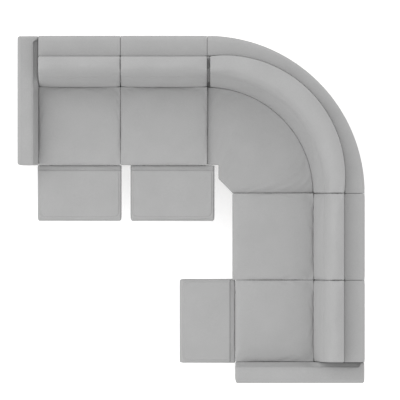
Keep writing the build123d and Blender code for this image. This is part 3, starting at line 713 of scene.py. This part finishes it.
def cornerFrontAt(turn):
    # where a line from the corner's centre meets the stepped front
    ray = Vector((math.cos(turn), math.sin(turn)))
    for a, b in zip(cornerFrontLine, cornerFrontLine[1:]):
        normal = Vector((b.y - a.y, a.x - b.x))
        facing = ray.dot(normal)
        if abs(facing) < 1e-9:
            continue
        reach = a.dot(normal) / facing
        share = (ray * reach - a).dot(b - a) / (b - a).length_squared
        if reach > 0 and -1e-6 <= share <= 1 + 1e-6:
            return reach
    return cornerFace


def cornerSeat():
    low = Vector((0, 0, 0))
    high = Vector((cornerLook["length"], cornerLook["depth"], cornerLook["height"]))
    obj = block("corner_cushion", low, high, cornerLook["pitch"], cornerLook["crowd"])
    rear, margin, radius = cornerLook["rear"], cornerLook["margin"], cornerLook["edge"]
    middle = rear / 2

    def settle(p):
        turn = cornerTurn * p.x / high.x
        share, up = p.y / high.y, p.z / high.z
        front = cornerFrontAt(turn)
        reach = front + share * (rear - front)
        spot = Vector((max(margin, reach * math.cos(turn)), max(margin, reach * math.sin(turn))))
        ends = min(spot.x, spot.y) - margin
        inside = min(ends, cornerLook["rearTuck"] * (rear - spot.length), nearestOn(cornerFrontLine, spot))
        offMiddle = (spot.x - middle)**2 + (spot.y - middle)**2
        crest = cornerLook["high"] - offMiddle / (2 * cornerLook["sphere"])
        if up > 0.999:  # the top face, rounded down to its edges
            lost = max(0, radius - inside)
            z = crest - radius + math.sqrt(radius**2 - min(radius, lost)**2)
        else:
            z = cornerLook["low"] + up * (crest - radius - cornerLook["low"])
        return corner["centre"] + Vector((spot.x, spot.y, z))

    shape(obj, settle)
    ring = cornerLook["high"] - cornerLook["heldDepth"]

    def held(p):
        out = (p - corner["centre"]).to_2d()
        atEnd = min(out.x, out.y) < cornerLook["heldEnd"] or out.length > rear - cornerLook["heldEnd"]
        return p.z < ring or atEnd or nearestOn(cornerFrontLine, out) < cornerLook["heldFront"]

    fillOut(obj, held, cornerLook["filling"])
    return obj


upholster(soften(cornerSeat()), "frame", ("corner_seat_cushion",))
print("corner seat made")


# footrest pads: a flat top panel with a seam round it and a rolled front border

padLook = {"pitch": 0.0095, "crowd": 0.5, "near": (0.014, 0.030, 0.012), "far": (0.014, 0.001, 0.022),
           "crown": 0.003, "crownFrom": 0.03, "flat": 6, "reach": 0.0034, "topDrop": 0.008, "rim": 0.020,
           "flap": 0.045, "flapSlope": 0.012, "flapDrop": 0.013, "seam": 0.028, "sideSeam": 0.017,
           "seamTurn": 0.045, "turnSteps": 8, "seamEnd": 0.006, "seamDepth": 0.0042, "seamWidth": 0.0045,
           "stitchInset": 0.007, "fill": 0.8,
           "filling": {"pressure": 0.3, "slack": 0.004, "bend": 0.6, "frames": 12, "cap": 0.012}}


def padSeam(low, high, inset):
    # the seam's line: up one side, round the two front corners and back along the other
    left, right = low.x + padLook["sideSeam"] + inset, high.x - padLook["sideSeam"] - inset
    front, turn = low.y + padLook["seam"] + inset, padLook["seamTurn"] - inset
    rear = high.y - padLook["flap"] - padLook["seamEnd"]
    points = [Vector((left, rear, high.z))]
    for across, start in ((left + turn, 180), (right - turn, 270)):
        middle = Vector((across, front + turn))
        for step in range(padLook["turnSteps"] + 1):
            angle = math.radians(start + step * 90 / padLook["turnSteps"])
            x, y = middle.x + turn * math.cos(angle), middle.y + turn * math.sin(angle)
            points.append(Vector((x, y, high.z)))
    points.append(Vector((right, rear, high.z)))
    return points


def footrestPad(name, low, high):
    high = Vector((high.x, high.y + padLook["reach"], high.z - padLook["topDrop"]))
    obj = block(name, low, high, padLook["pitch"], padLook["crowd"])
    middle, half = (low + high) / 2, (high - low) / 2
    flat = padLook["flat"]

    def settle(p):
        p = roundOff(p, low, high, padLook["near"], padLook["far"])
        u, v = (p.x - middle.x) / half.x, (p.y - middle.y) / half.y
        up = smoothstep(low.z + padLook["crownFrom"], high.z, p.z)
        p.z += padLook["crown"] * up * (1 - u**flat) * (1 - v**flat)
        return p

    shape(obj, settle)
    rim = high.z - padLook["rim"]
    fillOut(obj, lambda p: p.z < rim, padLook["filling"])
    keepWithin(obj, low, high + headroom)
    soften(obj)
    line = [p.to_2d() for p in padSeam(low, high, 0.0)]
    bend = high.y - padLook["flap"]

    def sew(p):
        if p.z > rim:
            p.z -= padLook["seamDepth"] * math.exp(-(nearestOn(line, p.to_2d()) / padLook["seamWidth"])**2)
        # the end next to the seat is a thinner flap
        over = smoothstep(bend, bend + padLook["flapSlope"], p.y)
        p.z -= padLook["flapDrop"] * over * smoothstep(low.z, rim, p.z)
        return p

    shape(obj, sew)
    return obj


down = Vector((0, 0, -1))
above = Vector((0, 0, stitchLook["away"]))
for seat in recliners:
    node, body = seat["name"] + "_footrest_pad", seat["name"] + "_footrest"
    low, high = localBox(node, seat["run"])
    obj = footrestPad(seat["name"] + "_pad", low, high)
    toWorld(obj, seat["run"])
    upholster(obj, body, (node,))
    row = [seat["run"] @ (p + above) for p in padSeam(low, high, padLook["stitchInset"])]
    sewRows(seat["name"] + "_pad_stitching", obj, (row,), down, body)
print("footrest pads made")


# arms: padded covers with a flat top and a sloping inner face

armLook = {"pitch": 0.0145, "crowd": 0.5, "outerRadius": 0.024, "innerRadius": 0.010, "endRadius": 0.012,
           "topRadius": 0.018, "footRadius": 0.004, "slopeTop": 0.607, "slopeFoot": 0.466, "topWidth": 0.124,
           "slopeEnds": (0.935, 0.962), "backFoot": 0.582, "backStart": (0.56, 0.64), "spread": 0.0016,
           "heldFoot": 0.03, "heldInner": 0.004, "heldOuter": 0.0015, "frontRoom": 0.003, "topRoom": 0.01,
           "switchGap": 0.0008, "switchDepth": 0.03, "seamsAt": (0.031, 0.107), "seamEnd": 0.015,
           "fill": 0.85,
           "filling": {"pressure": 0.3, "slack": 0.003, "bend": 0.8, "frames": 10, "cap": 0.008}}


def armCover(arm):
    low, high = localBox(arm["name"] + "_cover", arm["run"])
    sides = (armLook["outerRadius"], armLook["innerRadius"])
    spread = Vector((armLook["spread"], 0, 0))
    if arm["inward"] > 0:
        outer, high = low.x, high + spread
    else:
        outer, low = high.x, low - spread
        sides = sides[::-1]
    near = (sides[0], armLook["endRadius"], armLook["footRadius"])
    far = (sides[1], armLook["endRadius"], armLook["topRadius"])
    obj = block(arm["name"] + "_padding", low, high, armLook["pitch"], armLook["crowd"])
    full = high.x - low.x

    def widthAt(y, z):
        # the slope is shallow beside the back cushion and the ledge
        rise = smoothstep(*armLook["backStart"], y)
        foot = armLook["slopeFoot"] + (armLook["backFoot"] - armLook["slopeFoot"]) * rise
        share = min(1, max(0, (z - foot) / (armLook["slopeTop"] - foot)))
        return full + (armLook["topWidth"] - full) * share * (1 - smoothstep(*armLook["slopeEnds"], y))

    def settle(p):
        p = roundOff(p, low, high, near, far)
        p.x = outer + (p.x - outer) * widthAt(p.y, p.z) / full
        return p

    shape(obj, settle)
    inner = outer + arm["inward"] * full
    foot = low.z + armLook["heldFoot"]

    def held(p):
        atSide = abs(p.x - inner) < armLook["heldInner"] or abs(p.x - outer) < armLook["heldOuter"]
        return p.z < foot or atSide

    fillOut(obj, held, armLook["filling"])
    keepWithin(obj, low - Vector((0, armLook["frontRoom"], 0)), high + Vector((0, 0, armLook["topRoom"])))
    toWorld(obj, arm["run"])
    return obj


def cutFor(obj, node, spare, deeper):
    # an opening with room round a piece that sits in the cover
    low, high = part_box(node)
    middle, size = (low + high) / 2, high - low
    thin = min(range(3), key=lambda i: size[i])
    size += Vector([2 * spare] * 3)
    size[thin] += deeper
    bpy.ops.mesh.primitive_cube_add(size=1, location=middle)
    cutter = bpy.context.active_object
    cutter.scale = size
    bpy.ops.object.transform_apply(location=True, rotation=True, scale=True)
    applyModifier(obj, "BOOLEAN", "opening", operation="DIFFERENCE", object=cutter, solver="EXACT")
    bpy.data.objects.remove(cutter)


for arm in arms:
    node, run = arm["name"] + "_cover", arm["run"]
    obj = soften(armCover(arm))
    cutFor(obj, arm["switch"], armLook["switchGap"], armLook["switchDepth"])
    upholster(obj, "frame", (node,), sharpAngle)
    low, high = localBox(node, run)
    outer = low.x if arm["inward"] > 0 else high.x
    ends = (low.y + armLook["seamEnd"], high.y - armLook["seamEnd"])
    rows = []
    for inset in armLook["seamsAt"]:
        x, z = outer + arm["inward"] * inset, high.z + stitchLook["away"]
        rows.append([run @ Vector((x, y, z)) for y in ends])
    sewRows(arm["name"] + "_stitching", obj, rows, down, "frame")
print("arms made")


# fabric drawn over the back shells: ledge, outside back and sides

ledgeLook = {"pitch": 0.016, "proud": 0.0012, "spread": 0.0018, "near": (0.004, 0.012, 0.012),
             "far": (0.004, 0.036, 0.036), "thickness": 0.003, "front": 0.825, "bottom": 0.090, "top": 0.800,
             "deep": 0.1, "seamDrop": 0.045, "seamEnd": 0.012, "cornerHalf": 0.9, "cornerCoarser": 1.2,
             "firstInset": 0.0004, "lastInset": 0.0030, "fade": 0.2}


def openCover(name, low, high, pitch):
    # a block without its bottom and front, which lie inside the sofa
    obj = block(name, low, high, pitch)
    selectParts(obj, "FACE", lambda f: f.normal.z < -0.9 or f.normal.y < -0.9)
    bpy.ops.mesh.delete(type="FACE")
    bpy.ops.object.mode_set(mode="OBJECT")
    start = low - Vector((0, ledgeLook["deep"], ledgeLook["deep"]))
    shape(obj, lambda p: roundOff(p, start, high, ledgeLook["near"], ledgeLook["far"]))
    return obj


def thicken(obj):
    applyModifier(obj, "SOLIDIFY", "cloth", thickness=ledgeLook["thickness"], offset=-1)


for seat in seats:
    run = seat["run"]
    low, high = localBox(seat["name"] + "_back_shell", run)
    low = Vector((low.x - ledgeLook["spread"], ledgeLook["front"], ledgeLook["bottom"]))
    high = high + Vector((ledgeLook["spread"], ledgeLook["proud"], ledgeLook["proud"]))
    obj = openCover(seat["name"] + "_ledge_cover", low, high, ledgeLook["pitch"])
    thicken(obj)
    toWorld(obj, run)
    upholster(soften(obj), backBody(seat))
    y, z = high.y + stitchLook["away"], high.z - ledgeLook["seamDrop"]
    row = [run @ Vector((x, y, z)) for x in (low.x + ledgeLook["seamEnd"], high.x - ledgeLook["seamEnd"])]
    sewRows(seat["name"] + "_ledge_stitching", obj, (row,), run.to_3x3() @ Vector((0, -1, 0)), backBody(seat))
print("ledges made")


def cornerLedge():
    # the same profile carried round the corner
    half = ledgeLook["cornerHalf"]
    low = Vector((-half, ledgeLook["front"], ledgeLook["bottom"]))
    high = Vector((half, ledgeLook["front"] + corner["ledge"], ledgeLook["top"] + ledgeLook["proud"]))
    obj = openCover("corner_ledge_cover", low, high, ledgeLook["pitch"] * ledgeLook["cornerCoarser"])
    far = corner["back"] + ledgeLook["proud"]

    def settle(p):
        turn = halfTurn - p.x / half * halfTurn
        share = (p.y - low.y) / (high.y - low.y)
        near = ledgeFront(turn)
        return moveEnds(aroundCorner(near + share * (far - near), turn, p.z), ledgeLook)

    shape(obj, settle)
    thicken(obj)
    return obj


upholster(soften(cornerLedge()), "frame")
print("corner ledge made")


# fabric on the fronts of the bases

frontLook = {"pitch": 0.03, "thickness": 0.0045, "fold": 0.002, "foldShare": 0.4, "face": 0.012,
             "gap": 0.0002, "foot": 0.060, "deck": 0.394, "turn": 0.0016, "turnFront": 0.003,
             "turnDepth": 0.026, "joint": 0.0018, "switchGap": 0.0006, "switchDepth": 0.02,
             "cornerEnd": 0.0022, "cornerFold": 40}


def frontBlock(name, left, right, front, rear, run):
    low, high = Vector((left, front, frontLook["foot"])), Vector((right, rear, frontLook["deck"]))
    obj = block(name, low, high, frontLook["pitch"])
    foldEdges(obj, min(frontLook["fold"], frontLook["foldShare"] * min(high - low)))
    toWorld(obj, run)
    return obj


face = frontLook["face"]
turnRear = face + frontLook["turnDepth"]
for seat in seats:
    run = seat["run"]
    low, high = localBox(seat["name"] + "_base", run)
    spans = ((low.x, high.x),)
    if seat["recliner"]:
        innerLow, innerHigh = localBox(seat["name"] + "_side_plates", run)
        spans = ((low.x, innerLow.x), (innerHigh.x, high.x))
    for number, (left, right) in enumerate(spans):
        letter = "ab"[number]
        obj = frontBlock(seat["name"] + "_front_" + letter, left, right, face - frontLook["thickness"],
                         face - frontLook["gap"], run)
        if seat["name"] == "seat_2" and number == 0:
            cutFor(obj, "seat_2_switch_bezel", frontLook["switchGap"], frontLook["switchDepth"])
        trim(obj)
        if seat["recliner"]:
            # the cloth turns in round the edge of the opening
            edge = right if number == 0 else left - frontLook["turn"]
            trim(frontBlock(seat["name"] + "_return_" + letter, edge, edge + frontLook["turn"],
                            face - frontLook["turnFront"], turnRear, run))

# cloth behind the joints between the modules: leg, place along it and front edge
joints = ((topRun, -0.5365, 0.009), (topRun, 0.124, 0.009),
          (rightRun, -0.124, 0.0015), (rightRun, 0.5365, 0.009))
for letter, (run, at, front) in zip("abcd", joints):
    left, right = at - frontLook["joint"], at + frontLook["joint"]
    trim(frontBlock("joint_cloth_" + letter, left, right, front, turnRear, run))


def cornerFront():
    # one strip round the stepped front of the corner, from module to module
    end = frontLook["cornerEnd"]
    edge = corner["setback"] + face
    step, foot = corner["step"] + face, edge - corner["drop"]
    points = [(end, edge), (step, edge), (step, foot), (edge - corner["forward"] + face, end)]
    mesh = bpy.data.meshes.new("corner_front")
    mesh.from_pydata([corner["centre"] + Vector((x, y, frontLook["foot"])) for x, y in points],
                     [(i, i + 1) for i in range(len(points) - 1)], [])
    obj = bpy.data.objects.new("corner_front", mesh)
    scene.collection.objects.link(obj)
    makeActive(obj)
    rise = (0, 0, frontLook["deck"] - frontLook["foot"])
    bpy.ops.object.mode_set(mode="EDIT")
    bpy.ops.mesh.select_all(action="SELECT")
    bpy.ops.mesh.extrude_region_move(TRANSFORM_OT_translate={"value": rise})
    bpy.ops.mesh.select_all(action="SELECT")
    bpy.ops.mesh.normals_make_consistent(inside=False)
    bpy.ops.object.mode_set(mode="OBJECT")
    if obj.data.polygons[0].normal.y > 0:
        obj.data.flip_normals()
    applyModifier(obj, "SOLIDIFY", "cloth", thickness=frontLook["thickness"], offset=1, use_even_offset=True)
    foldEdges(obj, frontLook["fold"], angle=frontLook["cornerFold"])
    return obj


trim(cornerFront())
print("fronts made")


# dark lining on the decks, seen when a back is laid down

liningLook = {"front": 0.5925, "rear": 0.788, "low": 0.3942, "high": 0.3962, "pitch": 0.04, "over": 0.0018,
              "fold": 0.0008, "cornerLength": 1.4, "cornerNear": 0.79, "cornerFar": 1.04, "wall": 0.0016,
              "wallInset": 0.03, "wallLow": 0.1, "wallHigh": 0.765, "wallRear": 0.979, "wallFold": 0.0004}
for seat in recliners:
    low, high = localBox(seat["name"] + "_base", seat["run"])
    low = Vector((low.x - liningLook["over"], liningLook["front"], liningLook["low"]))
    high = Vector((high.x + liningLook["over"], liningLook["rear"], liningLook["high"]))
    obj = block(seat["name"] + "_deck_lining", low, high, liningLook["pitch"])
    foldEdges(obj, liningLook["fold"], 2)
    toWorld(obj, seat["run"])
    dress(obj, lining, "frame", smoothAngle=sharpAngle)


def cornerLining():
    # cloth on the corner's deck, under its back cushion and out to the modules beside it
    low = Vector((0, liningLook["cornerNear"], liningLook["low"]))
    high = Vector((liningLook["cornerLength"], liningLook["cornerFar"], liningLook["high"]))
    obj = block("corner_deck_lining", low, high, liningLook["pitch"])

    def settle(p):
        spot = aroundCorner(p.y, cornerTurn * p.x / high.x, p.z)
        return Vector((max(spot.x, corner["centre"].x), max(spot.y, corner["centre"].y), spot.z))

    shape(obj, settle)
    return obj


def leanFront(p):
    # the wall's front edge leans back inside the outline of the back cushions
    front, rear = liningLook["front"], liningLook["wallRear"]
    lean = front + liningLook["wallInset"] + backLook["lean"] * max(0, p.z - backLook["low"])
    share = (p.y - front) / (rear - front)
    return Vector((p.x, lean + share * (rear - lean), p.z))


trim(cornerLining())
wallSides = (corner["centre"].x, -corner["centre"].x - liningLook["wall"])
for letter, run, side in zip("ab", (topRun, rightRun), wallSides):
    # the corner's end walls, behind the joints with its neighbours
    low = Vector((side, liningLook["front"], liningLook["wallLow"]))
    high = Vector((side + liningLook["wall"], liningLook["wallRear"], liningLook["wallHigh"]))
    obj = block("corner_end_cloth_" + letter, low, high, liningLook["pitch"])
    shape(obj, leanFront)
    foldEdges(obj, liningLook["wallFold"], 2)
    toWorld(obj, run)
    trim(obj)
print("deck linings made")


# finishes of the CAD nodes that stay in view

nodeFinish = {
    "_base": plywood, "_frame": plywood, "_back_shell": boardFabric, "feet": stainedWood,
    "joining_plates": blackSteel, "_side_plates": blackSteel, "_drive_shaft": blackSteel,
    "_swing_arms": blackSteel, "_carrier_links": blackSteel, "_flip_links": blackSteel,
    "_footrest_pan": blackSteel, "_push_rod": blackSteel, "_motor": blackPlastic,
    "_switch_bezel": greyPlastic, "_switch_rocker": blackPlastic,
}
for name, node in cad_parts.items():
    for ending, material in nodeFinish.items():
        if name.endswith(ending):
            node.data.materials.clear()
            node.data.materials.append(material)
print("finishes given")


# floor, light and camera

white = (1, 1, 1, 1)
stageLook = {"floor": 60.0, "floorColor": (0.9, 0.9, 0.9, 1), "floorRoughness": 0.9, "lift": 0.62,
             "world": 0.86, "sun": 0.55, "sunFrom": (-0.62, 0.30, 0.72), "sunAngle": 55.0}


def pageRays(tree):
    # what the camera sees directly, in a mirror or through glass
    path = addNode(tree, "ShaderNodeLightPath").outputs
    first = sumUp(tree, "MAXIMUM", path["Is Camera Ray"], path["Is Glossy Ray"])
    return sumUp(tree, "MAXIMUM", first, path["Is Transmission Ray"])


bpy.ops.mesh.primitive_circle_add(vertices=64, radius=stageLook["floor"], fill_type="NGON",
                                  location=(0, 0, 0))
floor = bpy.context.active_object
floor.name = "floor"
material, tree, shader = newMaterial("paleFloor")
shader.inputs["Base Color"].default_value = stageLook["floorColor"]
shader.inputs["Roughness"].default_value = stageLook["floorRoughness"]
shader.inputs["Specular IOR Level"].default_value = 0.0
glow = addNode(tree, "ShaderNodeEmission", in_0=white)
tree.links.new(sumUp(tree, "MULTIPLY", pageRays(tree), in_1=stageLook["lift"]), glow.inputs["Strength"])
both = addNode(tree, "ShaderNodeAddShader", ((0, shader.outputs[0]), (1, glow.outputs[0])))
tree.links.new(both.outputs[0], tree.nodes["Material Output"].inputs["Surface"])
floor.data.materials.append(material)

world = bpy.data.worlds.new("studio")
scene.world = world
world.use_nodes = True
tree = world.node_tree
light = tree.nodes["Background"]
light.inputs["Color"].default_value = white
light.inputs["Strength"].default_value = stageLook["world"]
page = addNode(tree, "ShaderNodeBackground", in_0=white, in_1=1.0)
choice = addNode(tree, "ShaderNodeMixShader",
                 ((0, pageRays(tree)), (1, light.outputs[0]), (2, page.outputs[0])))
tree.links.new(choice.outputs[0], tree.nodes["World Output"].inputs["Surface"])

bpy.ops.object.light_add(type="SUN", location=(0, 0, 5))
sun = bpy.context.active_object
sun.data.energy = stageLook["sun"]
sun.data.angle = math.radians(stageLook["sunAngle"])
sun.rotation_euler = Vector(stageLook["sunFrom"]).to_track_quat("Z", "Y").to_euler()

# a very long lens far above, so that the plan shows no perspective
cameraLook = {"lens": 1600.0, "sensor": 36.0, "width": 3.046, "over": (0.0692, 0.073), "level": 0.5,
              "far": 400.0}
away = cameraLook["width"] * cameraLook["lens"] / cameraLook["sensor"]
bpy.ops.object.camera_add(location=(*cameraLook["over"], cameraLook["level"] + away), rotation=(0, 0, 0))
camera = bpy.context.active_object
camera.data.lens = cameraLook["lens"]
camera.data.sensor_width = cameraLook["sensor"]
camera.data.clip_end = cameraLook["far"]
scene.camera = camera
scene.view_settings.view_transform = "Standard"
print("stage, light and camera set")
